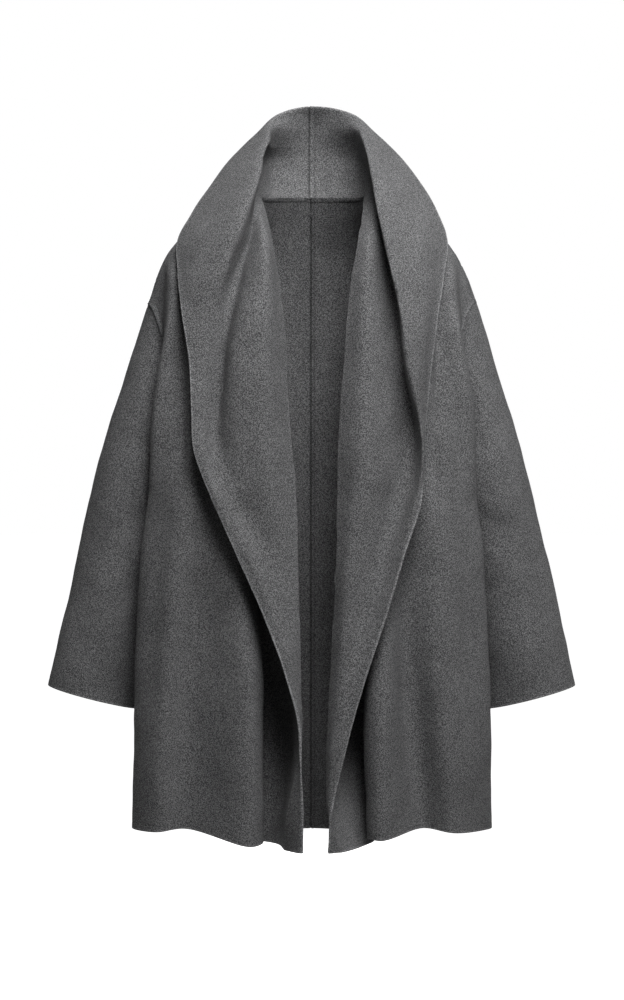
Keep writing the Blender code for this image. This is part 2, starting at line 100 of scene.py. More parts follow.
# The sleeve: its outer and inner lines from the armhole (0) to the cuff (1), and its half depth.
SLEEVE_OUTER = (
    (0, 235, 8, -150),
    (0.1, 253, 12, -205),
    (0.25, 279, 16, -287),
    (0.45, 311, 20, -400),
    (0.7, 346, 24, -544),
    (1, 380, 28, -699),
)
SLEEVE_INNER = (
    (0, 200, 20, -335),
    (0.1, 205, 24, -372),
    (0.25, 212, 28, -430),
    (0.45, 221, 32, -508),
    (0.7, 234, 34, -610),
    (1, 250, 34, -733),
)
SLEEVE_HALF_DEPTH = (
    (0, 52, 0, 0),
    (0.25, 60, 0, 0),
    (0.6, 60, 0, 0),
    (1, 55, 0, 0),
)
ARMHOLE_INSET = 15  # how far the armhole's front and back halves are cut in towards the neck

# The back, the same on both sides, from the centre back out to the side seam.
BACK_LINES = (
    (  # centre back seam
        (0, 0, 116, -918),
        (2, 0, 109, -700),
        (4, 0, 106, -500),
        (6, 0, 111, -290),
        (7, 0, 108, -150),
        (7.5, 0, 96, -70),
    ),
    (  # flute beside it
        (0, 62, 122, -921),
        (2, 58, 113, -700),
        (4, 54, 108, -500),
        (6, 50, 113, -290),
        (7, 48, 107, -150),
        (7.5, 46, 92, -70),
    ),
    (  # hollow
        (0, 126, 100, -913),
        (2, 120, 102, -700),
        (4, 112, 103, -500),
        (6, 98, 109, -295),
        (7, 90, 101, -155),
        (7.5, 82, 76, -74),
    ),
    (  # outer flute
        (0, 190, 90, -909),
        (2, 178, 85, -700),
        (4, 160, 85, -500),
        (6, 148, 97, -305),
        (7, 140, 88, -175),
        (7.5, 134, 60, -104),
    ),
    (  # beside the side seam
        (0, 226, 58, -902),
        (2, 206, 54, -700),
        (4, 184, 54, -500),
        (6, 182, 72, -322),
        (7, 182, 76, -210),
        (7.5, 185, 54, -148),
    ),
)
BACK_TOPS = (12, 11, 10, 64 / 7, 60 / 7)  # station of the neck or shoulder seam where each ends

# The fronts, from the side seam to the lapel's roll line, and on to the free edge.
SIDE_FOLD = (
    (0, 254, -50, -896),
    (2, 252, -54, -700),
    (3, 247, -56, -600),
    (4, 240, -58, -500),
    (5, 229, -58, -410),
    (6, 218, -60, -330),
    (7, 207, -60, -245),
    (8, 202, -54, -170),
    (8.5, 197, -36, -106),
    (9, 160, -18, -56),
)
SIDE_HOLLOW = (
    (0, 250, -14, -896),
    (2, 226, -18, -700),
    (3, 214, -20, -610),
    (4, 203, -20, -505),
    (5, 194, -20, -415),
    (6, 192, -20, -334),
    (7, 199, -46, -250),
    (8, 212, -24, -160),
    (8.5, 206, -8, -92),
    (9, 176, -2, -54),
)
FLUTE_TOP = (  # upper half of the outer flute
    (6, 172, -98, -330),
    (7, 170, -86, -245),
    (8, 172, -68, -168),
    (8.5, 170, -46, -108),
    (9, 144, -32, -60),
)

LEFT_PANEL = (  # the wearer's left
    SIDE_HOLLOW,
    SIDE_FOLD,
    (  # outer flute
        (0, 196, -110, -895),
        (2, 188, -112, -700),
        (4, 180, -109, -500),
        *FLUTE_TOP,
    ),
    (  # hollow between the flutes
        (0, 156, -84, -890),
        (1, 149, -88, -800),
        (2, 140, -96, -700),
        (3, 138, -101, -600),
        (4, 142, -104, -500),
        (6, 145, -88, -330),
        (8, 146, -64, -165),
        (9, 130, -46, -62),
    ),
    (  # crest of the inner flute
        (0, 96, -139, -902),
        (1, 96, -138, -800),
        (2, 98, -134, -700),
        (3, 101, -126, -600),
        (4, 106, -115, -500),
        (6, 114, -84, -330),
        (8, 120, -66, -163),
        (9, 116, -48, -64),
    ),
    (  # its lip, over the gap
        (0, 78, -116, -901),
        (1, 73, -114, -800),
        (2, 75, -110, -700),
        (3, 82, -108, -600),
        (4, 88, -105, -500),
        (6, 96, -83, -330),
        (8, 101, -66, -162),
        (9, 104, -50, -66),
    ),
    (  # bottom of the gap
        (0, 86, -62, -912),
        (1, 82, -48, -800),
        (2, 79, -54, -700),
        (3, 78, -80, -600),
        (4, 78, -95, -500),
        (6, 79, -82, -330),
        (8, 84, -67, -161),
        (9, 92, -52, -68),
    ),
    (  # behind the lapel
        (0, 58, -118, -916),
        (0.5, 50, -94, -860),
        (1, 44, -70, -800),
        (2, 43, -68, -700),
        (3, 46, -86, -600),
        (4, 50, -98, -500),
        (6, 58, -83, -330),
        (8, 67, -69, -160),
        (9, 80, -54, -70),
    ),
)
LEFT_LAPEL = (
    (  # roll line
        (0, 42, -140, -917),
        (0.25, 29, -146, -890),
        (0.5, 22, -146, -860),
        (1, 20, -137, -800),
        (2, 25, -123, -700),
        (4, 33, -113, -500),
        (6, 39, -106, -330),
        (7, 45, -101, -240),
        (8, 51, -92, -160),
        (9, 64, -70, -75),
        (9.5, 71, -34, -28),
        (10, NECK_HALF_WIDTH, 18, 4),
    ),
    (  # its inner half
        (0, 38, -143, -917),
        (0.5, 23, -150, -860),
        (1, 25, -149, -800),
        (2, 36, -142, -700),
        (3, 45, -138, -600),
        (4, 54, -134, -500),
        (5, 68, -134, -406),
        (6, 72, -131, -330),
        (7, 74, -124, -242),
        (8, 76, -113, -162),
        (9, 80, -86, -72),
        (9.5, 83, -46, -28),
        (10, 80, 0, 5),
        (10.5, 72, 36, 15),
        (11, 54, 64, 26),
        (11.5, 29, 79, 31),
        (12, 0, 86, 32),
    ),
    (  # hollow behind the crest
        (0, 34, -146, -917),
        (0.5, 24, -153, -860),
        (1, 30, -153, -800),
        (2, 48, -149, -700),
        (3, 70, -138, -600),
        (4, 94, -129, -500),
        (5, 132, -113, -402),
        (6, 141, -99, -328),
        (7, 130, -89, -244),
        (8, 117, -81, -164),
        (8.5, 110, -75, -118),
        (9, 103, -66, -66),
        (9.5, 97, -54, -26),
        (10, 90, -28, 7),
        (10.5, 83, 8, 32),
        (11, 70, 48, 56),
        (11.5, 47, 83, 66),
        (12, 0, 95, 68),
    ),
    (  # crest, the foremost line of the hood and lapel
        (0, 30, -149, -917),
        (0.5, 25, -154, -860),
        (1, 34, -155, -800),
        (2, 57, -152, -700),
        (3, 86, -149, -600),
        (4, 116, -143, -500),
        (5, 149, -139, -400),
        (6, 149, -135, -325),
        (7, 134, -133, -243),
        (8, 119, -128, -162),
        (8.5, 109, -120, -118),
        (9, 99, -104, -64),
        (9.5, 91, -85, -22),
        (10, 87, -60, 14),
        (10.5, 81, -34, 44),
        (11, 74, 6, 82),
        (11.5, 60, 50, 108),
        (12, 0, 93, 108),
    ),
    (  # wing that falls from the crest
        (0, 27, -151, -917),
        (0.5, 26, -155, -860),
        (1, 37, -155, -800),
        (2, 62, -153, -700),
        (3, 93, -152, -600),
        (4, 123, -147, -500),
        (5, 152, -139, -400),
        (6, 157, -131, -322),
        (7, 155, -126, -244),
        (8, 152, -115, -163),
        (8.5, 152, -100, -116),
        (9, 150, -76, -62),
        (9.5, 136, -50, -18),
        (10, 123, -24, 22),
        (10.5, 104, 2, 58),
        (11, 84, 30, 92),
        (11.5, 61, 58, 120),
        (12, 0, 88, 128),
    ),
    (  # free edge
        (0, 23, -152, -917),
        (0.5, 27, -155, -860),
        (1, 40, -154, -800),
        (2, 67, -152, -700),
        (3, 98, -154, -600),
        (4, 129, -149, -500),
        (4.6, 149, -142, -440),
        (5, 154, -134, -400),
        (6, 163, -124, -320),
        (7, 172, -110, -245),
        (8, 181, -88, -165),
        (8.5, 187, -64, -118),
        (9, 192, -28, -66),
        (9.5, 179, -8, -22),
        (10, 155, 14, 23),
        (10.5, 125, 36, 64),
        (11, 92, 53, 98),
        (11.5, 58, 66, 130),
        (11.75, 31, 77, 140),
        (12, 0, 82, HOOD_HEIGHT),
    ),
)

RIGHT_PANEL = (  # the wearer's right
    SIDE_HOLLOW,
    SIDE_FOLD,
    (  # outer flute
        (0, 212, -100, -895),
        (2, 202, -106, -700),
        (4, 184, -107, -500),
        *FLUTE_TOP,
    ),
    (  # hollow between the flutes
        (0, 178, -84, -891),
        (2, 166, -91, -700),
        (3, 158, -97, -600),
        (4, 150, -103, -500),
        (6, 145, -99, -330),
        (8, 146, -76, -165),
        (9, 130, -46, -62),
    ),
    (  # crest of the inner flute
        (0, 86, -134, -911),
        (1, 85, -135, -800),
        (2, 86, -133, -700),
        (3, 92, -126, -600),
        (4, 104, -117, -500),
        (6, 114, -98, -330),
        (8, 120, -80, -163),
        (9, 116, -54, -64),
    ),
    (  # its lip, over the gap
        (0, 69, -108, -909),
        (1, 67, -106, -800),
        (2, 66, -102, -700),
        (3, 74, -103, -600),
        (4, 86, -106, -500),
        (6, 96, -96, -330),
        (8, 101, -80, -162),
        (9, 104, -58, -66),
    ),
    (  # bottom of the gap
        (0, 74, -46, -914),
        (1, 76, -45, -800),
        (2, 74, -51, -700),
        (3, 74, -77, -600),
        (4, 74, -94, -500),
        (6, 76, -92, -330),
        (8, 80, -80, -161),
        (9, 90, -60, -68),
    ),
    (  # behind the lapel
        (0, 49, -66, -915),
        (0.5, 44, -58, -860),
        (1, 38, -54, -800),
        (2, 35, -60, -700),
        (3, 38, -82, -600),
        (4, 42, -97, -500),
        (6, 50, -92, -330),
        (8, 60, -79, -160),
        (9, 76, -60, -70),
    ),
)
RIGHT_LAPEL = (
    (  # roll line
        (0, 38, -118, -917),
        (0.5, 33, -132, -860),
        (1, 21, -141, -800),
        (1.5, 15, -143, -745),
        (2, 17, -136, -700),
        (3, 17, -125, -600),
        (4, 19, -118, -500),
        (5, 23, -112, -410),
        (6, 29, -106, -330),
        (7, 35, -100, -240),
        (8, 43, -91, -160),
        (9, 56, -68, -72),
        (9.5, 66, -34, -28),
        (10, NECK_HALF_WIDTH, 18, 4),
    ),
    (  # its inner half
        (0, 33, -127, -917),
        (0.5, 27, -140, -860),
        (1, 18, -147, -800),
        (1.5, 16, -147, -745),
        (2, 21, -143, -700),
        (3, 29, -138, -600),
        (4, 46, -136, -500),
        (5, 62, -140, -406),
        (6, 66, -142, -330),
        (7, 66, -138, -242),
        (8, 64, -128, -162),
        (9, 67, -93, -72),
        (9.5, 74, -50, -28),
        (10, 79, 0, 5),
        (10.5, 70, 36, 15),
        (11, 53, 64, 26),
        (11.5, 29, 79, 31),
        (12, 0, 86, 32),
    ),
    (  # hollow
        (0, 28, -135, -917),
        (0.5, 21, -146, -860),
        (1, 16, -150, -800),
        (1.5, 17, -149, -745),
        (2, 24, -147, -700),
        (3, 42, -145, -600),
        (4, 74, -140, -500),
        (5, 114, -129, -404),
        (6, 132, -114, -328),
        (7, 129, -107, -244),
        (8, 116, -99, -164),
        (8.5, 102, -85, -118),
        (9, 87, -66, -68),
        (9.5, 84, -49, -26),
        (10, 84, -28, 7),
        (10.5, 79, 8, 32),
        (11, 68, 48, 56),
        (11.5, 46, 83, 66),
        (12, 0, 95, 68),
    ),
    (  # crest, the foremost line of the hood and lapel
        (0, 24, -141, -917),
        (0.5, 18, -149, -860),
        (1, 16, -152, -800),
        (1.5, 17, -151, -745),
        (2, 26, -149, -700),
        (3, 52, -148, -600),
        (4, 92, -146, -500),
        (5, 136, -134, -402),
        (6, 152, -122, -322),
        (7, 151, -113, -243),
        (8, 138, -104, -160),
        (8.5, 121, -107, -116),
        (9, 105, -103, -66),
        (9.5, 90, -86, -22),
        (10, 78, -62, 14),
        (10.5, 71, -34, 44),
        (11, 63, 6, 82),
        (11.5, 55, 50, 108),
        (12, 0, 93, 108),
    ),
    (  # wing that falls from the crest
        (0, 19, -147, -917),
        (0.5, 15, -151, -860),
        (1, 16, -153, -800),
        (1.5, 17, -152, -745),
        (2, 28, -150, -700),
        (3, 58, -148, -600),
        (4, 100, -145, -500),
        (5, 143, -138, -401),
        (6, 160, -124, -320),
        (7, 162, -112, -242),
        (8, 162, -98, -160),
        (8.5, 159, -90, -116),
        (9, 152, -72, -64),
        (9.5, 132, -48, -18),
        (10, 115, -22, 20),
        (10.5, 95, 4, 58),
        (11, 76, 32, 92),
        (11.5, 55, 60, 120),
        (12, 0, 88, 128),
    ),
    (  # free edge
        (0, 14, -150, -917),
        (0.5, 13, -152, -860),
        (1, 16, -153, -800),
        (1.5, 18, -152, -745),
        (2, 29, -151, -700),
        (2.5, 44, -150, -650),
        (3, 63, -148, -600),
        (4, 107, -144, -500),
        (5, 150, -136, -400),
        (5.5, 163, -130, -360),
        (6, 166, -123, -312),
        (7, 170, -110, -240),
        (8, 183, -86, -158),
        (8.5, 188, -62, -112),
        (9, 191, -28, -66),
        (9.5, 170, -6, -20),
        (10, 145, 15, 20),
        (10.5, 114, 37, 62),
        (11, 83, 54, 96),
        (11.5, 52, 67, 128),
        (11.75, 28, 77, 139),
        (12, 0, 82, HOOD_HEIGHT),
    ),
)

# ------------------------------ sewing, creases and studio

# What is done along an edge: how far the cloth rises beside it, up to which distance, how deep
# the groove is where the rise ends, whether stitches pinch in the edge itself, and how much shade
# is painted on the edge and in the groove (a painted highlight, if negative). The low ones are
# the centre back seam below the neck.
SEWING = {
    "turned": (0.12, 7.0, 0.12, False, -0.75, 0.05),
    "lapped": (0.45, 6.0, 0.45, False, 0.15, 0.25),
    "felled": (0.40, 3.4, 0.85, False, -0.06, 0.60),
    "faint": (0.40, 3.0, 0.40, False, -0.06, 0.28),
    "felled low": (0.35, 1.2, 0.75, False, 0.30, 0.55),
    "faint low": (0.35, 2.6, 0.35, False, 0.10, 0.28),
    "armhole": (0.0, 3.6, 0.0, False, 0.34, 0.24),
    "set in": (0.0, 0.0, 0.0, False, 0.34, 0.0),
    "sewn": (0.0, 0.0, 0.0, True, 0.30, 0.0),
    "roll": (0.0, 0.0, 0.0, False, -0.06, 0.0),
}
PAINT_REACH = 1.5  # how far from an edge or groove its painted shade and highlight reach
SETTLED = 22.0  # how far from a seam creases reach their whole height
NO_EDGE = 1000.0  # a distance that no sewing reaches
FADE = 0.8  # under 1, a crease keeps more of its height towards its ends

RIPPLES = (  # wave length, height, heading (x, y, z) and phase
    (210.0, 0.9, 1.0, 0.4, 0.3, 0.10),
    (150.0, 0.7, 0.8, 0.3, -0.6, 0.35),
    (96.0, 0.45, 1.0, -0.2, 0.5, 0.60),
    (64.0, 0.28, 0.7, 0.5, 0.9, 0.20),
    (41.0, 0.16, 1.0, 0.6, -0.8, 0.85),
    (27.0, 0.09, 0.5, -0.7, 1.0, 0.45),
)

# Creases: width, height, and points of the path as seen from the front, out and up. Those of
# a front are for its panel and for its lapel with its half of the hood.
LEFT_CREASES = (
    (  # on the panel
        (14, -9, (124, -430), (127, -515), (129, -580), (132, -640), (136, -740), (149, -885)),
        (16, 5, (166, -540), (174, -680), (188, -880)),
        (16, -5, (206, -420), (214, -520), (222, -640), (230, -780)),
        (9, 15, (198, -90), (195, -135), (197, -195), (202, -245), (213, -312), (226, -430)),
        (11, -12, (184, -100), (180, -170), (178, -240), (174, -300), (170, -360), (174, -460)),
    ),
    (  # on the lapel and hood
        (20, -4, (128, -40), (130, -100), (130, -160), (134, -220)),
        (15, -8, (184, -50), (182, -120), (176, -190), (170, -260), (162, -340), (156, -400)),
        (9, 4, (112, -150), (124, -200), (136, -260), (146, -340), (150, -420)),
        (12, -3, (60, 100), (66, 60), (72, 20)),
        (10, 3, (30, 84), (28, 50), (28, 14)),
        (20, -9, (134, -300), (127, -400), (104, -510), (86, -580), (58, -680)),
    ),
)
RIGHT_CREASES = (
    (  # on the panel
        (20, -6, (166, -520), (180, -640), (188, -755), (196, -885)),
        (16, -5, (206, -420), (214, -520), (222, -640), (230, -780)),
        (8, 11, (200, -90), (193, -135), (197, -190), (202, -230), (214, -312), (226, -420)),
        (12, -10, (182, -110), (184, -180), (185, -260), (184, -340), (178, -440)),
    ),
    (  # on the lapel and hood
        (20, 10, (70, -50), (80, -115), (88, -160), (98, -216), (103, -283), (106, -340),
         (98, -450)),
        (10, -8, (96, -60), (104, -115), (112, -160), (124, -216), (129, -283), (136, -340),
         (134, -430)),
        (12, -9, (66, 78), (57, 50), (50, 24), (44, -14)),
        (9, 4, (28, 90), (26, 56), (24, 20)),
        (30, -4, (80, -420), (66, -520), (44, -640)),
    ),
)
BACK_CREASES = (
    (22, -6, (30, -260), (44, -420), (60, -600), (74, -780)),
    (20, 5, (86, -300), (96, -460), (108, -640), (116, -820)),
    (16, -5, (150, -250), (140, -330), (124, -420)),
    (14, 4, (168, -230), (160, -320), (148, -400)),
    (18, -5, (176, -380), (190, -520), (204, -700)),
)
SLEEVE_CREASES = (
    (12, -8, (212, -160), (216, -225), (224, -290), (236, -380)),
    (14, -2, (216, -330), (236, -350), (262, -356)),
    (18, -2, (232, -440), (258, -470), (292, -480)),
    (22, 2, (240, -500), (270, -540), (310, -556)),
    (24, -3, (300, -440), (322, -540), (340, -640)),
    (26, 3, (262, -560), (282, -640), (296, -700)),
)

DENSE = 24  # steps between two lines of a sheet, before it is cut again
PANEL_STEPS = 66  # final steps across the panel
LAPEL_STEPS = 52  # the same across the lapel
NECK_STEPS = 26  # and along half the neck seam
SLEEVE_LENGTH = 565
RIM = 6  # steps round a free edge, from face to face
SHARPEST = 0.75  # the wall's offset isn't lengthened for sharper bends than this cosine
TINY = 1e-12  # keeps a division from failing

WOOL = ((0.12, "#3f3f40"), (0.5, "#5f5f60"), (0.9, "#8c8c8d"))  # dark, middle and pale locks
LOCK = (0.0009, 0.0010, 0.0019)  # metres to a cell of the noise that draws locks of fibre
LOCK_TURNS = ((0.5, 0.0), (1.6, 7.0), (2.7, 13.0))  # how far each set is turned and moved
CLOUD = 0.04  # metres across a cloud of slightly darker or paler wool
FUZZ = 0.0011  # the same for a tuft of nap

FLOOR = -1.36
FLOOR_HALF = 60.0
FLOOR_GLOW = 1.0  # a lit white floor, so that it meets the white sky
SKY = 1.0  # as seen
SKY_LIGHT = 0.05  # as a light
LIT = (0.0, 0.0, -0.35)  # what the lights face
LIGHTS = (  # name, place, width and height, watts
    ("key", (0.86, -1.69, 2.05), (1.8, 1.0), 80),
    ("front", (0.20, -1.80, 1.85), (0.9, 0.9), 38),
    ("back", (0.20, 2.90, 0.35), (1.8, 1.6), 100),
)
CAMERA_DISTANCE = 3.5
CAMERA_LEVEL = -0.433
PIXEL = 1.433e-3  # of the photograph, at the coat's middle
PHOTO_HEIGHT = 1000  # in those pixels
SENSOR = 24

# ------------------------------ lines and sheets


def cubic(knots, values, at):
    """Values at the places given, on a smooth curve through each knot's value."""
    span = np.clip(np.searchsorted(knots, at, side="right") - 1, 0, len(knots) - 2)
    return between(at, span, knots, values)


def between(at, span, knots, values):
    """The cubic on each place's own span, from the two knots' values and slopes.

    The slope at a knot is that of the parabola through it and its two neighbours, and at an end
    that of the straight line to the next. Knots may hold one column for each row of a sheet, and
    then so do the places.
    """
    steps = np.diff(knots, axis=0)[..., None]
    slopes = np.diff(values, axis=0) / steps
    inner = (steps[1:] * slopes[:-1] + steps[:-1] * slopes[1:]) / (steps[:-1] + steps[1:])
    tangents = np.concatenate([slopes[:1], inner, slopes[-1:]])
    width = knots[span + 1] - knots[span]
    share = ((at - knots[span]) / width)[..., None]
    width = width[..., None]
    return (
        (1 + 2 * share) * (1 - share) ** 2 * values[span]
        + share * (1 - share) ** 2 * width * tangents[span]
        + share**2 * (3 - 2 * share) * values[span + 1]
        + share**2 * (share - 1) * width * tangents[span + 1]
    )


def line(rows, stations):
    """Points of a line at the stations, from its table.

    A line that ends at the centre back runs straight across it, as if it went on mirrored.
    """
    rows = np.array(rows, float)
    if rows[-1, 0] == NECK_BACK:
        rows = np.vstack([rows, rows[-2] * (-1, -1, 1, 1) + (2 * NECK_BACK, 0, 0, 0)])
    return cubic(rows[:, 0], rows[:, 1:], np.asarray(stations, float))


def ring(share, angle):
    """Points of the sleeve at shares of its length from the armhole, at angles round it.

    The angle is 0 on the outer line, a quarter turn at the front and half a turn on the
    inner line. The section is an ellipse between the two lines, cut in towards the neck
    where it meets the body.
    """
    outer = line(SLEEVE_OUTER, share)
    inner = line(SLEEVE_INNER, share)
    depth = line(SLEEVE_HALF_DEPTH, share)[:, 0]
    forward = np.sin(angle)
    points = (outer + inner) / 2 + np.cos(angle)[:, None] * (outer - inner) / 2
    points[:, 0] -= ARMHOLE_INSET * np.abs(forward) * (1 - share) ** 2
    points[:, 1] -= depth * forward
    return points


def sewn_edge(stations, front):
    """Points of a body piece's sewn edge up to the neck: side seam, armhole, shoulder seam."""
    stations = np.asarray(stations, float)
    points = np.empty((len(stations), 3))
    side = stations <= UNDERARM
    armhole = (stations > UNDERARM) & (stations < SHOULDER_END)
    shoulder = stations >= SHOULDER_END
    points[side] = line(SIDE_SEAM, stations[side])
    turn = np.pi * (SHOULDER_END - stations[armhole]) / (SHOULDER_END - UNDERARM)
    points[armhole] = ring(np.zeros(armhole.sum()), turn if front else -turn)
    points[shoulder] = line(SHOULDER_SEAM, stations[shoulder])
    return points


def spread(length, fine_start, fine_end):
    """Shares from 0 to 1 of a stretch: fine at the ends asked for, and between them STEP apart."""
    start = FINE if fine_start else np.zeros(1)
    end = length - FINE[::-1] if fine_end else np.array([length])
    even = np.linspace(start[-1], end[0], int(np.ceil((end[0] - start[-1]) / STEP)) + 1)
    return np.unique(np.concatenate([[0], start, even, end, [length]])) / length


def stations_up_to(last):
    """Stations of the mesh's rows from the hem to a landmark."""
    rows = [a + (b - a) * spread(*rest)[1:] for a, b, *rest in STRETCHES if b <= last]
    return np.concatenate([[HEM], *rows])


def row_sheet(lines, centred=False):
    """A grid (row, column, xyz) through the lines, with DENSE cubic steps between two of them.

    Each row's knots are spaced by the square root of the distance, which keeps the turn of a
    fold tight without loops. Centred rows start at the middle of the coat and run straight
    across it, as if they went on mirrored.
    """
    if centred:
        lines = [lines[1] * (-1, 1, 1), *lines]
    lines = np.array(lines)
    chords = np.linalg.norm(np.diff(lines, axis=0), axis=2)
    knots = np.vstack([np.zeros(lines.shape[1]), np.cumsum(np.sqrt(chords + 1e-6), axis=0)])
    columns = np.arange(centred * DENSE, (len(lines) - 1) * DENSE + 1)
    span = np.minimum(columns // DENSE, len(lines) - 2)
    share = (columns / DENSE - span)[:, None]
    at = knots[span] + share * (knots[span + 1] - knots[span])
    return between(at, span, knots, lines).swapaxes(0, 1)


def placed(grid, shares, fine_start=False, fine_end=False, by_bend=True):
    """The grid with each row cut again: fine at the ends asked for, and the rest at the shares.

    The shares are of the row's length and, where asked, of BEND for each radian that it turns.
    """
    steps = np.diff(grid, axis=1)
    lengths = np.linalg.norm(steps, axis=2)
    ways = steps / np.maximum(lengths, 1e-9)[..., None]
    turns = np.arccos(np.clip((ways[:, 1:] * ways[:, :-1]).sum(axis=2), -1, 1))
    turns = np.pad(turns, ((0, 0), (1, 1))) * BEND * by_bend
    reach = running_sum(lengths)
    toll = running_sum(lengths + (turns[:, 1:] + turns[:, :-1]) / 2)
    rows = []
    for points, far, cost in zip(grid, reach, toll):
        fine = np.append(0, FINE * min(1, far[-1] / (FINE_SHARE * FINE[-1])))
        start = fine if fine_start else np.zeros(1)
        end = far[-1] - (fine[::-1] if fine_end else np.zeros(1))
        first, last = np.interp([start[-1], end[0]], far, cost)
        even = np.interp(first + shares * (last - first), cost, far)
        at = np.concatenate([start[:-1], even, end[1:]])
        rows.append(np.stack([np.interp(at, far, axis) for axis in points.T], axis=1))
    return np.array(rows)


def running_sum(lengths):
    """For each row of lengths, 0 and the sum up to each of them."""
    return np.pad(np.cumsum(lengths, axis=1), ((0, 0), (1, 0)))


def reaches(grid):
    """Distance of each point of each row from the row's first point, along the row."""
    return running_sum(np.linalg.norm(np.diff(grid, axis=1), axis=2))


def softened(grid, free_column=False, passes=4):
    """The grid with each point drawn towards its neighbours, as thick cloth rounds a fold.

    Sewn edges stay, and the hem and a free last column move only along themselves.
    """
    grid = grid.copy()
    for _ in range(passes):
        inner = grid[1:-1, 1:-1]
        inner += (grid[:-2, 1:-1] + grid[2:, 1:-1] - 2 * inner) / 4
        inner += (grid[1:-1, :-2] + grid[1:-1, 2:] - 2 * inner) / 4
        grid[0, 1:-1] += (grid[0, :-2] + grid[0, 2:] - 2 * grid[0, 1:-1]) / 4
        if free_column:
            grid[1:-1, -1] += (grid[:-2, -1] + grid[2:, -1] - 2 * grid[1:-1, -1]) / 4
    return grid


def neck_points():
    """Points of the neck seam from the neck side to the centre back, fine at the back."""
    seam = line(NECK_SEAM, np.linspace(NECK_SIDE, NECK_BACK, 8 * DENSE))
    return placed(seam[None], np.linspace(0, 1, NECK_STEPS + 1), fine_end=True, by_bend=False)[0]


def front_sheets(panel, lapel):
    """The front in two grids that meet at the roll line: panel, then lapel and half the hood.

    The panel's columns run from the sewn edge to the roll line, and the lapel's on from the roll
    line and the neck seam to the free edge.
    """
    rows = stations_up_to(NECK_SIDE)
    corner = (NECK_SIDE, *SHOULDER_SEAM[-1][1:])
    folds = [line((*fold, corner), rows) for fold in panel]
    roll = line(lapel[0], rows)
    body = row_sheet([sewn_edge(rows, front=True), *folds, roll])
    body = placed(body, np.linspace(0, 1, PANEL_STEPS + 1), fine_start=True)
    above = np.linspace(NECK_SIDE, NECK_BACK, 4 * DENSE)[1:]
    inner = np.vstack([roll, line(NECK_SEAM, above)])
    every = np.concatenate([rows, above])
    turned = row_sheet([inner, *(line(fold, every) for fold in lapel[1:])])
    turned = placed(turned, np.linspace(0, 1, LAPEL_STEPS + 1), fine_start=True, fine_end=True)
    hood = turned[len(rows) - 1 :].swapaxes(0, 1)
    hood = placed(hood, np.linspace(0, 1, NECK_STEPS + 1), fine_end=True, by_bend=False)
    turned = np.concatenate([turned[: len(rows) - 1], hood.swapaxes(0, 1)])
    body, turned = softened(body), softened(turned, free_column=True, passes=2)
    turned[len(rows) - 1 :, 0] = neck_points()
    turned[: len(rows), 0] = body[:, -1]
    return body, turned


def back_sheet():
    """The back half, from the centre back seam to the side seam and armhole.

    Its rows take up the curve of the neck and shoulder seams in the last stretch below them.
    """
    rows = stations_up_to(SHOULDER_END)
    lines = []
    for fold, top in zip(BACK_LINES, BACK_TOPS):
        end = neck_point(top) if top > NECK_SIDE else sewn_edge([top], front=False)[0]
        lines.append(line((*fold, (SHOULDER_END, *end)), rows))
    grid = row_sheet([*lines, sewn_edge(rows, front=False)], centred=True)
    shoulder = stations_up_to(NECK_SIDE)
    shoulder = shoulder[shoulder >= SHOULDER_END]
    top = np.concatenate([neck_points()[::-1], sewn_edge(shoulder, front=False)[-2::-1]])
    reach = reaches(top[None])[0]
    middle = reach[len(FINE) : -len(FINE)]
    shares = (middle - middle[0]) / (middle[-1] - middle[0])
    grid = placed(grid, shares, fine_start=True, fine_end=True, by_bend=False)
    weight = np.clip(rows - UNDERARM, 0, None) ** 2 / (SHOULDER_END - UNDERARM) ** 2
    edges = grid[:, [0, -1]].copy()
    grid += weight[:, None, None] * (top - grid[-1])
    grid[:, [0, -1]] = edges
    grid = softened(grid)
    grid[-1] = top
    return grid


def neck_point(station):
    """The point of the neck seam at a station."""
    return line(NECK_SEAM, [station])[0]


def sleeve_sheet():
    """The sleeve, from the armhole to the cuff and once round from its inner line."""
    shares = spread(SLEEVE_LENGTH, True, True)
    stations = stations_up_to(SHOULDER_END)
    turn = np.pi * (SHOULDER_END - stations[stations >= UNDERARM]) / (SHOULDER_END - UNDERARM)
    angles = np.concatenate([-turn, turn[-2::-1]])
    return np.array([ring(np.full(len(angles), share), angles) for share in shares])


# ------------------------------ creases and seams


def smooth(value):
    """From 0 to 1 as the value goes from 0 to 1, level at both ends."""
    value = np.clip(value, 0, 1)
    return value**2 * (3 - 2 * value)


def creased(grid, creases):
    """How far creases move each point: a bell curve across each path, fading towards its ends.

    A path is a list of points as seen from the front, out from the middle and up.
    """
    flat = grid[..., [0, 2]]
    move = np.zeros(grid.shape[:2])
    for width, height, *path in creases:
        path = np.array(path, float)
        whole = reaches(path[None])[0]
        nearest = np.full(move.shape, np.inf)
        place = np.zeros(move.shape)
        for start, end, from_start, to_end in zip(path, path[1:], whole, whole[1:]):
            way = end - start
            share = np.clip(((flat - start) * way).sum(axis=-1) / (way @ way), 0, 1)
            away = np.linalg.norm(flat - start - share[..., None] * way, axis=-1)
            closer = away < nearest
            nearest[closer] = away[closer]
            place[closer] = (from_start + share * (to_end - from_start))[closer] / whole[-1]
        move += height * np.exp(-((nearest / width) ** 2)) * np.sin(np.pi * place) ** FADE
    return move


def rippled(points):
    """Unevenness of pressed wool: a sum of low sine waves that run in several directions."""
    move = np.zeros(points.shape[:-1])
    for length, height, x, y, z, phase in RIPPLES:
        way = np.array([x, y, z]) / np.linalg.norm([x, y, z])
        move += height * np.sin(2 * np.pi * (points @ way / length + phase))
    return move


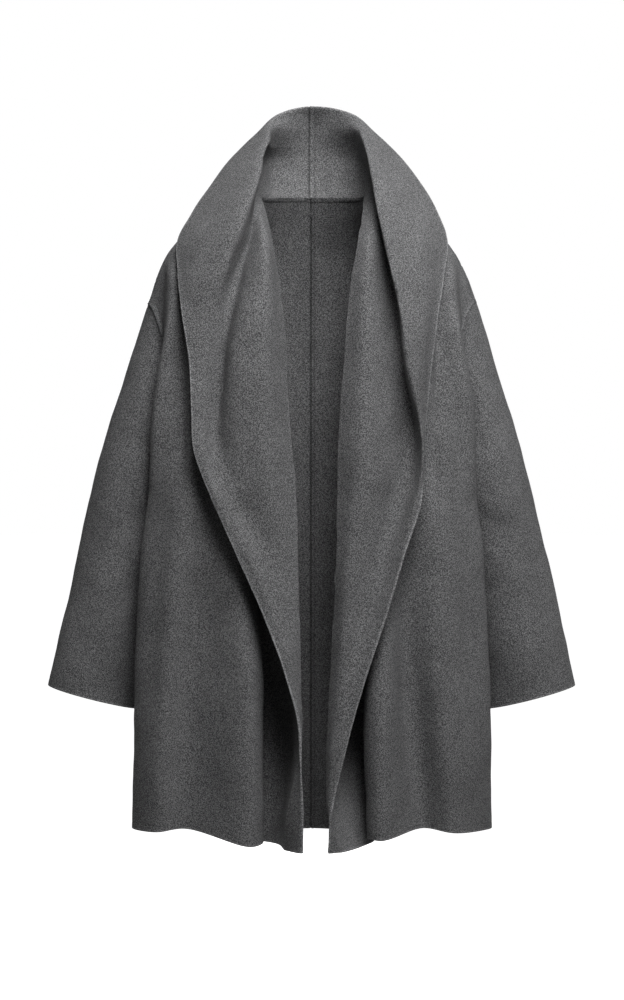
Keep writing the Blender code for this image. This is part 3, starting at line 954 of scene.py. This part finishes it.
def from_edges(grid):
    """Distances of each point from the grid's first and last column and first and last row."""
    across = reaches(grid)
    up = reaches(grid.swapaxes(0, 1)).T
    return across, across[:, -1:] - across, up, up[-1:] - up


def half_wall(edges, shape):
    """Half the wall's thickness at each point, from what is sewn along each edge of the grid.

    The rise runs level up to its reach and falls in a smooth step. A bell curve is cut out at
    that step's foot, and another takes the wall down to SEAM_EDGE at a pinched edge.
    """
    half = np.full(shape, CLOTH / 2)
    pinch = np.ones(shape)
    for kind, distance in edges:
        rise, reach, groove, pinched, *_ = SEWING[kind]
        half += rise * smooth((reach + FALL / 2 - distance) / FALL)
        half -= groove * np.exp(-(((distance - reach - FALL) / FALL) ** 2))
        if pinched:
            pinch *= 1 - np.exp(-((distance / PINCH) ** 2))
    return SEAM_EDGE + (half - SEAM_EDGE) * pinch


def painted_light_at(edges, shape):
    """How pale each point is painted: 1, less a bell curve of painted shade on each edge and in
    its groove, a painted highlight where negative.
    """
    painted_light = np.ones(shape)
    for kind, distance in edges:
        _, reach, _, _, painted_edge_light, painted_groove_shade = SEWING[kind]
        painted_light -= painted_edge_light * np.exp(-((distance / PAINT_REACH) ** 2))
        painted_light -= painted_groove_shade * np.exp(-(((distance - reach - FALL) / PAINT_REACH) ** 2))
    return painted_light


def settled(edges, shape):
    """From 0 on a seam or roll line to 1 away from it, because a seam holds its creases flat."""
    weight = np.ones(shape)
    for kind, distance in edges:
        if kind != "turned":
            weight *= smooth(distance / SETTLED)
    return weight


# ------------------------------ walls


def quads_of(number):
    """Quads of a grid of point numbers, facing the viewer who sees columns run right, rows up."""
    corners = number[:-1, :-1], number[:-1, 1:], number[1:, 1:], number[1:, :-1]
    return np.stack([corner.ravel() for corner in corners], axis=1)


def joined(points):
    """For each point, the number of the one that it shares its place with."""
    return np.unique(np.round(points, 2) + 0.0, axis=0, return_inverse=True)[1].reshape(-1)


def normals_of(points, quads, same):
    """Each point's normal, from all the quads round its place, on any piece.

    It is longer where the sheet bends, so that the wall keeps its thickness there.
    """
    corners = points[quads]
    areas = np.cross(corners[:, 2] - corners[:, 0], corners[:, 3] - corners[:, 1]) / 2
    count = same.max() + 1
    sums = np.zeros((count, 3))
    for corner in range(4):
        np.add.at(sums, same[quads[:, corner]], areas)
    normals = (sums / np.maximum(np.linalg.norm(sums, axis=1), TINY)[:, None])[same]
    lean = np.zeros(count)
    weight = np.zeros(count)
    for corner in range(4):
        own = quads[:, corner]
        np.add.at(lean, same[own], (normals[own] * areas).sum(axis=1))
        np.add.at(weight, same[own], np.linalg.norm(areas, axis=1))
    return normals / np.clip(lean / np.maximum(weight, TINY), SHARPEST, 1)[same, None]


def outline(quads):
    """Directed edges that only one face has, with the piece on their left."""
    ends = np.concatenate([quads[:, [i, (i + 1) % 4]] for i in range(4)])
    ends = ends[ends[:, 0] != ends[:, 1]]
    _, index, count = np.unique(
        np.sort(ends, axis=1), axis=0, return_inverse=True, return_counts=True
    )
    return ends[count[index.reshape(-1)] == 1]


def wall(points, normals, half, quads):
    """Closed mesh of a piece: the sheet moved out and in by half its wall, and a rounded rim.

    The rim is half a circle across the wall, in RIM steps, from the outer face to the inner.
    """
    edges = outline(quads)
    along = points[edges[:, 1]] - points[edges[:, 0]]
    inward = np.cross(normals[edges[:, 0]] + normals[edges[:, 1]], along)
    inward /= np.maximum(np.linalg.norm(inward, axis=1), TINY)[:, None]
    outward = np.zeros_like(points)
    for end in (0, 1):
        np.add.at(outward, edges[:, end], -inward)
    rim = np.unique(edges)
    outward = outward[rim] / np.maximum(np.linalg.norm(outward[rim], axis=1), TINY)[:, None]
    thick = half[:, None]
    count = len(points)
    vertices = [points + normals * thick, points - normals * thick]
    arcs = np.empty((RIM + 1, count), int)
    arcs[0] = np.arange(count)
    arcs[RIM] = np.arange(count) + count
    for step in range(1, RIM):
        angle = np.pi * step / RIM
        turn = np.cos(angle) * normals[rim] + np.sin(angle) * outward
        arcs[step, rim] = 2 * count + (step - 1) * len(rim) + np.arange(len(rim))
        vertices.append(points[rim] + turn * thick[rim])
    start, end = edges.T
    strips = [
        np.stack([arcs[i, end], arcs[i, start], arcs[i + 1, start], arcs[i + 1, end]], axis=1)
        for i in range(RIM)
    ]
    source = np.concatenate([np.arange(count), np.arange(count), np.tile(rim, RIM - 1)])
    faces = np.concatenate([quads, quads[:, ::-1] + count, *strips])
    return np.concatenate(vertices), faces, source


def in_scene(name, data):
    """A new object in the scene, at the origin."""
    made = bpy.data.objects.new(name, data)
    bpy.context.scene.collection.objects.link(made)
    return made


def mesh_object(name, points, faces, flat, painted_light, material):
    """A piece in the scene, from millimetres, with its flat cloth as its UV map, in metres."""
    kept = faces != np.roll(faces, -1, axis=1)
    sizes = kept.sum(axis=1)
    whole = sizes > 2
    loops = faces[whole][kept[whole]]
    sizes = sizes[whole]
    used, loops = np.unique(loops, return_inverse=True)
    mesh = bpy.data.meshes.new(name)
    mesh.vertices.add(len(used))
    mesh.vertices.foreach_set("co", (points[used] * MM).ravel())
    mesh.loops.add(len(loops))
    mesh.loops.foreach_set("vertex_index", loops.reshape(-1))
    mesh.polygons.add(len(sizes))
    mesh.polygons.foreach_set("loop_start", np.cumsum(sizes) - sizes)
    mesh.update(calc_edges=True)
    mesh.uv_layers.new(name="cloth")
    mesh.uv_layers["cloth"].data.foreach_set("uv", (flat[used][loops.reshape(-1)] * MM).ravel())
    # Colour factor per point: shade painted along seams and grooves, a highlight painted on free
    # edges.
    mesh.attributes.new("painted_light", "FLOAT", "POINT").data.foreach_set("value", painted_light[used])
    mesh.validate()
    mesh.shade_smooth()
    mesh.materials.append(material)
    return in_scene(name, mesh)


# ------------------------------ materials


def linear(code):
    """An sRGB hex colour as linear RGBA."""
    parts = [int(code[i : i + 2], 16) / 255 for i in (1, 3, 5)]
    return (*(c / 12.92 if c <= 0.04045 else ((c + 0.055) / 1.055) ** 2.4 for c in parts), 1)


def node(tree, kind, values=None, **links):
    """Adds a node, sets its properties and sockets, and links its inputs by name."""
    made = tree.nodes.new(kind)
    for name, value in (values or {}).items():
        if name in made.inputs:
            made.inputs[name].default_value = value
        else:
            setattr(made, name, value)
    for name, source in links.items():
        tree.links.new(source, made.inputs[name.replace("_", " ")])
    return made


def new_material(name, sockets):
    """A node material with its shader, whose sockets are set."""
    material = bpy.data.materials.new(name)
    material.use_nodes = True
    tree = material.node_tree
    shader = tree.nodes["Principled BSDF"]
    for socket, value in sockets.items():
        shader.inputs[socket].default_value = value
    return material, tree, shader


def sum_of(tree, first, second, operation="ADD"):
    """The sum, or another operation, of two sockets' values."""
    made = node(tree, "ShaderNodeMath", {"operation": operation})
    tree.links.new(first, made.inputs[0])
    tree.links.new(second, made.inputs[1])
    return made.outputs[0]


def wool():
    """Brushed double-faced wool melange, felted and pressed.

    Dark and pale dyed fibres lie in short locks, so the grey is flecked. The pile is matt and
    soft, and the thread under it shows only as faint diagonals. Shade is painted along seams and
    in their grooves, and a highlight is painted along free edges.
    """
    matt = {"Roughness": 0.93, "Specular IOR Level": 0.12}
    sheen = {"Sheen Weight": 0.05, "Sheen Roughness": 0.55, "Sheen Tint": linear("#b9b9b9")}
    material, tree, shader = new_material("brushed wool melange", {**matt, **sheen})
    place = node(tree, "ShaderNodeTexCoord").outputs["Object"]
    # Three sets of locks, twice as long as wide, lie across each other.
    locks = []
    for turn, seed in LOCK_TURNS:
        lie = {"Rotation": (0.3, turn, 0.0), "Location": (seed, 0, 0), "Scale": LOCK}
        turned = node(
            tree, "ShaderNodeMapping", {"vector_type": "TEXTURE", **lie}, Vector=place
        )
        grain = {"Scale": 1.0, "Detail": 2.0, "Roughness": 0.6}
        noise = node(tree, "ShaderNodeTexNoise", grain, Vector=turned.outputs["Vector"])
        locks.append(noise.outputs["Fac"])
    fibres = sum_of(tree, sum_of(tree, locks[0], locks[1]), locks[2])
    middle = {"From Min": 1.31, "From Max": 1.69}
    contrast = node(tree, "ShaderNodeMapRange", middle, Value=fibres)
    ramp = node(tree, "ShaderNodeValToRGB", Fac=contrast.outputs["Result"])
    stops = ramp.color_ramp.elements
    stops.new(WOOL[1][0])
    for stop, (position, code) in zip(stops, WOOL):
        stop.position = position
        stop.color = linear(code)
    clouds = node(tree, "ShaderNodeTexNoise", {"Scale": 1 / CLOUD, "Detail": 2.0}, Vector=place)
    shades = {"From Min": 0.3, "From Max": 0.7, "To Min": 0.93, "To Max": 1.07}
    cloudy = node(tree, "ShaderNodeMapRange", shades, Value=clouds.outputs["Fac"])
    # Shade is painted along seams and in their grooves, and a highlight along free edges.
    painted_light = node(tree, "ShaderNodeAttribute", {"attribute_name": "painted_light"}).outputs["Fac"]
    shade = sum_of(tree, cloudy.outputs["Result"], painted_light, "MULTIPLY")
    colour = node(tree, "ShaderNodeVectorMath", {"operation": "SCALE"}, Scale=shade)
    tree.links.new(ramp.outputs["Color"], colour.inputs[0])
    tree.links.new(colour.outputs["Vector"], shader.inputs["Base Color"])
    fuzz = node(tree, "ShaderNodeTexNoise", {"Scale": 1 / FUZZ, "Detail": 3.0}, Vector=place)
    height = sum_of(tree, fibres, fuzz.outputs["Fac"])
    bump = node(tree, "ShaderNodeBump", {"Strength": 0.55, "Distance": 0.0009}, Height=height)
    tree.links.new(bump.outputs["Normal"], shader.inputs["Normal"])
    return material


# ------------------------------ the coat


def front(panel, lapel, back_seam, creases):
    """A front with its half of the hood: its grids with their edges.

    The lapel and hood are turned over, so their creases rise from the other side (-1).
    """
    body, turned = front_sheets(panel, lapel)
    corner = len(body) - 1
    sewn, roll, up, _ = from_edges(body)
    panel_edges = [("turned", up), ("armhole", sewn), ("roll", roll)]
    inner, free, high, top = from_edges(turned)
    below = np.clip(high[corner] - high, 0, None)
    neck = np.hypot(inner, below)
    fold = np.where(high < high[corner], inner, NO_EDGE)
    lapel_edges = [
        ("turned", high),
        ("turned", free),
        ("set in", neck),
        ("roll", fold),
        (back_seam, top),
    ]
    return [
        {"grid": body, "edges": panel_edges, "across": -roll, "creases": creases[0], "side": 1},
        {"grid": turned, "edges": lapel_edges, "across": inner, "creases": creases[1], "side": -1},
    ]


def back(back_seam):
    """A back half with its edges."""
    grid = back_sheet()
    middle, sewn, up, top = from_edges(grid)
    edges = [("turned", up), ("lapped", top), (back_seam, middle), ("armhole", sewn)]
    return [{"grid": grid, "edges": edges, "across": middle, "creases": BACK_CREASES, "side": 1}]


def sleeve():
    """A sleeve with its edges."""
    grid = sleeve_sheet()
    first, last, down, cuff = from_edges(grid)
    edges = [("set in", down), ("turned", cuff), ("sewn", first), ("sewn", last)]
    return [{"grid": grid, "edges": edges, "across": first, "creases": SLEEVE_CREASES, "side": 1}]


def numbered(sheets):
    """Point numbers of a piece's grids, shared where the cloth runs on from one to the next.

    The panel narrows to a point at the neck, and the lapel goes on from its last column.
    """
    numbers = []
    first = 0
    for sheet in sheets:
        shape = sheet["grid"].shape[:2]
        numbers.append(first + np.arange(shape[0] * shape[1]).reshape(shape))
        first += shape[0] * shape[1]
    if len(numbers) == 2:
        panel, lapel = numbers
        panel[-1] = panel[-1, -1]
        lapel[: len(panel), 0] = panel[:, -1]
    return numbers


def coat():
    """All the pieces: creased and rippled along the cloth's normals, then given their walls."""
    made = {
        "front_and_hood_left": (front(LEFT_PANEL, LEFT_LAPEL, "faint", LEFT_CREASES), False),
        "front_and_hood_right": (front(RIGHT_PANEL, RIGHT_LAPEL, "felled", RIGHT_CREASES), True),
        "back_left": (back("faint low"), False),
        "back_right": (back("felled low"), True),
        "sleeve_left": (sleeve(), False),
        "sleeve_right": (sleeve(), True),
    }
    points, quads, lifts, halves, painted_lights, flats, spans = [], [], [], [], [], [], {}
    first = 0
    for name, (sheets, mirrored) in made.items():
        outward = mirrored != name.startswith("sleeve")
        cells = [quads_of(number) for number in numbered(sheets)]
        cells = np.concatenate(cells) + first
        quads.append(cells if outward else cells[:, ::-1])
        for sheet in sheets:
            grid = sheet["grid"] * ((-1, 1, 1) if mirrored else 1)
            shape = grid.shape[:2]
            up = from_edges(grid)[2]
            points.append(grid.reshape(-1, 3))
            lift = creased(sheet["grid"], sheet["creases"]) * settled(sheet["edges"], shape)
            lifts.append(lift.ravel() * sheet["side"])
            halves.append(half_wall(sheet["edges"], shape).ravel())
            # Shade painted along seams and a highlight painted along free edges, per point.
            painted_lights.append(painted_light_at(sheet["edges"], shape).ravel())
            flats.append(np.stack([sheet["across"], up], axis=-1).reshape(-1, 2))
        count = sum(sheet["grid"][..., 0].size for sheet in sheets)
        spans[name] = (first, first + count, quads[-1])
        first += count
    points, halves, painted_lights, flats = (np.concatenate(part) for part in (points, halves, painted_lights, flats))
    every = np.concatenate(quads)
    same = joined(points)
    normals = normals_of(points, every, same)
    normals /= np.linalg.norm(normals, axis=1, keepdims=True)
    points = points + normals * (np.concatenate(lifts) + rippled(points))[:, None]
    normals = normals_of(points, every, same)
    material = wool()
    for name, (start, end, cells) in spans.items():
        own = slice(start, end)
        vertices, faces, source = wall(points[own], normals[own], halves[own], cells - start)
        flat, painted_light = flats[own][source], painted_lights[own][source]
        piece = mesh_object("cloth_" + name, vertices, faces, flat, painted_light, material)
        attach(piece, "root")
        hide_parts(name)


# ------------------------------ studio


def studio():
    """A lit white floor, a white sky, and soft lights at the upper right, in front and behind."""
    mesh = bpy.data.meshes.new("floor")
    signs = ((-1, -1), (1, -1), (1, 1), (-1, 1))
    corners = [(x * FLOOR_HALF, y * FLOOR_HALF, FLOOR) for x, y in signs]
    mesh.from_pydata(corners, [], [(0, 1, 2, 3)])
    paint = {"Base Color": linear("#f4f4f2"), "Roughness": 0.9}
    glow = {"Emission Color": (1, 1, 1, 1), "Emission Strength": FLOOR_GLOW}
    mesh.materials.append(new_material("matt white floor paint", {**paint, **glow})[0])
    floor = in_scene("floor", mesh)
    floor.visible_diffuse = False
    world = bpy.data.worlds.new("studio")
    world.use_nodes = True
    tree = world.node_tree
    seen = node(tree, "ShaderNodeLightPath").outputs["Is Camera Ray"]
    strength = node(
        tree, "ShaderNodeMapRange", {"To Min": SKY_LIGHT, "To Max": SKY}, Value=seen
    ).outputs["Result"]
    background = tree.nodes["Background"]
    background.inputs["Color"].default_value = (1, 1, 1, 1)
    tree.links.new(strength, background.inputs["Strength"])
    bpy.context.scene.world = world
    for name, place, size, watts in LIGHTS:
        lamp = bpy.data.lights.new(name, "AREA")
        lamp.shape = "RECTANGLE"
        lamp.size, lamp.size_y = size
        lamp.energy = watts
        light = in_scene(name, lamp)
        light.location = place
        aim = Vector(LIT) - Vector(place)
        light.rotation_euler = aim.to_track_quat("-Z", "Y").to_euler()


def camera():
    """The photograph's view: level and square to the front, at the height of the waist."""
    data = bpy.data.cameras.new("camera")
    data.sensor_fit = "VERTICAL"
    data.sensor_height = SENSOR
    data.lens = SENSOR * CAMERA_DISTANCE / (PHOTO_HEIGHT * PIXEL)
    view = in_scene("camera", data)
    view.location = (0, -CAMERA_DISTANCE, CAMERA_LEVEL)
    view.rotation_euler = (np.pi / 2, 0, 0)
    bpy.context.scene.camera = view


coat()
studio()
camera()
bpy.context.scene.view_settings.view_transform = "Standard"
bpy.context.view_layer.update()
